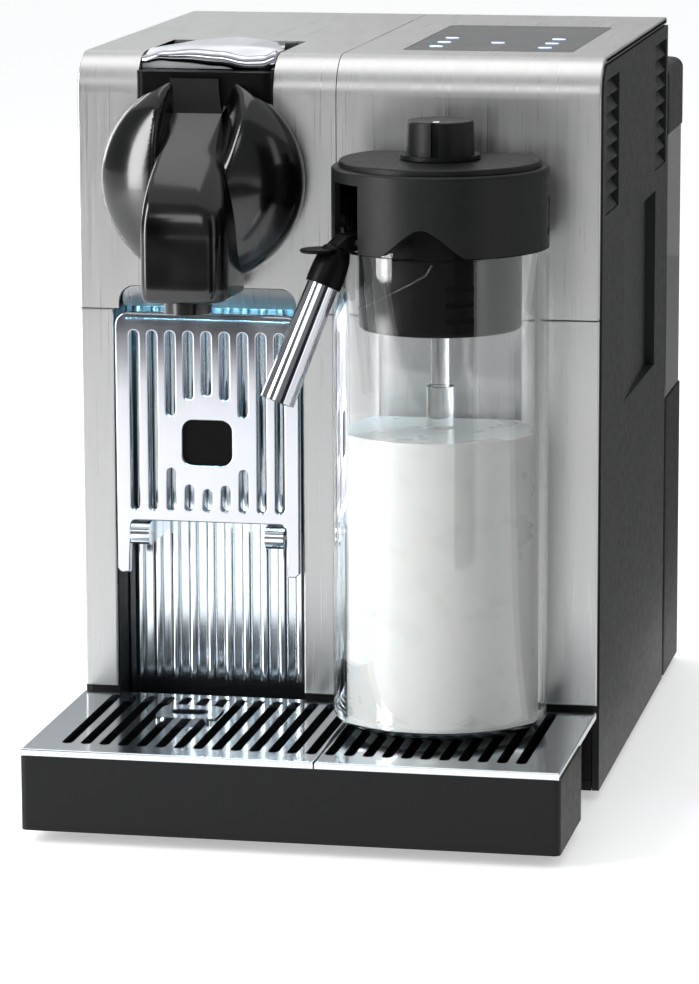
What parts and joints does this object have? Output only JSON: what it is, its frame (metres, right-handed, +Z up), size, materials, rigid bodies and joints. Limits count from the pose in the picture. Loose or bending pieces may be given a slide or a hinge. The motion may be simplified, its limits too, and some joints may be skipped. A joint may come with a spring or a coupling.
{
  "type": "pod coffee machine",
  "caption": "Pod coffee machine with brushed metal front, lift-up lever, fold-down cup support, pull-out drip tray, clip-on milk jug with frothing lid and lift-off rear water tank.",
  "frame": {"origin": "on the standing surface, at the centre of the whole machine's bounding box", "axes": "+Z up, -Y towards the user (front with the drip tray), +X to the right seen from the front"},
  "size_m": [0.194, 0.332, 0.274],
  "materials": {
    "brushed_aluminium": "satin brushed",
    "chrome": "polished",
    "stainless": "polished",
    "piano_black": "high gloss",
    "black_plastic": "fine texture",
    "grey_plastic": "fine texture",
    "touch_glass": "satin, dark tinted",
    "icon_light": "lit",
    "blue_light": "lit",
    "clear_plastic": "clear, gloss",
    "tank_plastic": "smoked, gloss",
    "milk": "liquid",
    "rubber": "matt",
    "steel": "machined",
    "brass": "machined",
    "cast_aluminium": "cast",
    "pcb": "solder mask",
    "hose": "silicone"
  },
  "bodies": {
    "housing": {"top_shell_left": "brushed_aluminium", "top_shell_right": "brushed_aluminium", "front_panel_left": "brushed_aluminium", "front_panel_right": "brushed_aluminium", "column_header": "brushed_aluminium", "touch_panel": "touch_glass", "touch_icons": "icon_light", "control_board": "pcb", "side_panel_right": "grey_plastic", "side_panel_left": "grey_plastic", "louvres_front": "grey_plastic", "louvres_rear": "grey_plastic", "base_pan": "black_plastic", "feet": "rubber", "bulkhead": "black_plastic", "rear_wall": "black_plastic", "housing_screws": "steel", "head_housing": "piano_black", "brew_cage": "black_plastic", "brew_disc": "piano_black", "coffee_spout": "piano_black", "coffee_nozzle": "piano_black", "column_light": "blue_light", "lever_pin": "steel", "steam_connector": "black_plastic", "tank_seat": "black_plastic", "mains_inlet": "black_plastic", "boiler": "cast_aluminium", "pump": "black_plastic", "flow_meter": "black_plastic", "power_board": "pcb", "steam_pipe": "hose", "water_hose": "hose"},
    "lever": {"lever_plate": "brushed_aluminium", "lever_lip": "chrome"},
    "piston": {"brew_piston": "brass"},
    "tray": {"drip_bin": "black_plastic", "tray_fascia": "black_plastic", "grid_left": "stainless", "grid_right": "stainless", "backsplash": "stainless", "pod_bin": "black_plastic", "cup_support_pins": "steel"},
    "cup_support": {"cup_support": "chrome"},
    "jug": {"jug_glass": "clear_plastic", "milk": "milk", "jug_lid": "black_plastic", "jug_top_plate": "black_plastic", "froth_body": "piano_black", "milk_pipe": "clear_plastic", "jug_plug": "black_plastic", "spout_pin": "steel"},
    "froth_knob": {"froth_knob": "black_plastic"},
    "milk_spout": {"spout_arm": "black_plastic", "spout_tube": "chrome"},
    "release_left": {"release_button_left": "black_plastic"},
    "release_right": {"release_button_right": "black_plastic"},
    "tank": {"water_tank": "tank_plastic", "tank_valve": "rubber"},
    "tank_lid": {"tank_lid": "grey_plastic"}
  },
  "joints": [
    {"name": "lever_hinge", "type": "hinge", "parent": "housing", "child": "lever", "pos_m": [-0.0485, -0.022, 0.2698], "axis": [-1, 0, 0], "range_deg": [0, 85]},
    {"name": "piston_slide", "type": "slide", "parent": "housing", "child": "piston", "axis": [0, 1, 0], "range_m": [0, 0.012]},
    {"name": "tray_slide", "type": "slide", "parent": "housing", "child": "tray", "axis": [0, -1, 0], "range_m": [0, 0.2]},
    {"name": "cup_support_hinge", "type": "hinge", "parent": "tray", "child": "cup_support", "pos_m": [-0.0485, -0.0746, 0.095], "axis": [1, 0, 0], "range_deg": [0, 90]},
    {"name": "jug_pull", "type": "slide", "parent": "housing", "child": "jug", "axis": [0, -1, 0], "range_m": [0, 0.12]},
    {"name": "froth_knob_turn", "type": "hinge", "parent": "jug", "child": "froth_knob", "pos_m": [0.0432, -0.1015, 0.24], "axis": [0, 0, 1], "range_deg": [-60, 60]},
    {"name": "milk_spout_tilt", "type": "hinge", "parent": "jug", "child": "milk_spout", "pos_m": [0.01564, -0.12387, 0.2125], "axis": [-0.6303, 0.7764, 0], "range_deg": [0, 30]},
    {"name": "release_left_press", "type": "slide", "parent": "jug", "child": "release_left", "axis": [1, 0, 0], "range_m": [0, 0.0018], "stiffness_N_per_m": 400},
    {"name": "release_right_press", "type": "slide", "parent": "jug", "child": "release_right", "axis": [-1, 0, 0], "range_m": [0, 0.0018], "stiffness_N_per_m": 400},
    {"name": "tank_lift", "type": "slide", "parent": "housing", "child": "tank", "axis": [0, 0, 1], "range_m": [0, 0.25]},
    {"name": "tank_lid_hinge", "type": "hinge", "parent": "tank", "child": "tank_lid", "pos_m": [0, 0.1647, 0.2268], "axis": [-1, 0, 0], "range_deg": [0, 100]}
  ],
  "couplings": [
    {"joint": "piston_slide", "follows": "lever_hinge", "m_per_rad": 0.0080214}
  ]
}
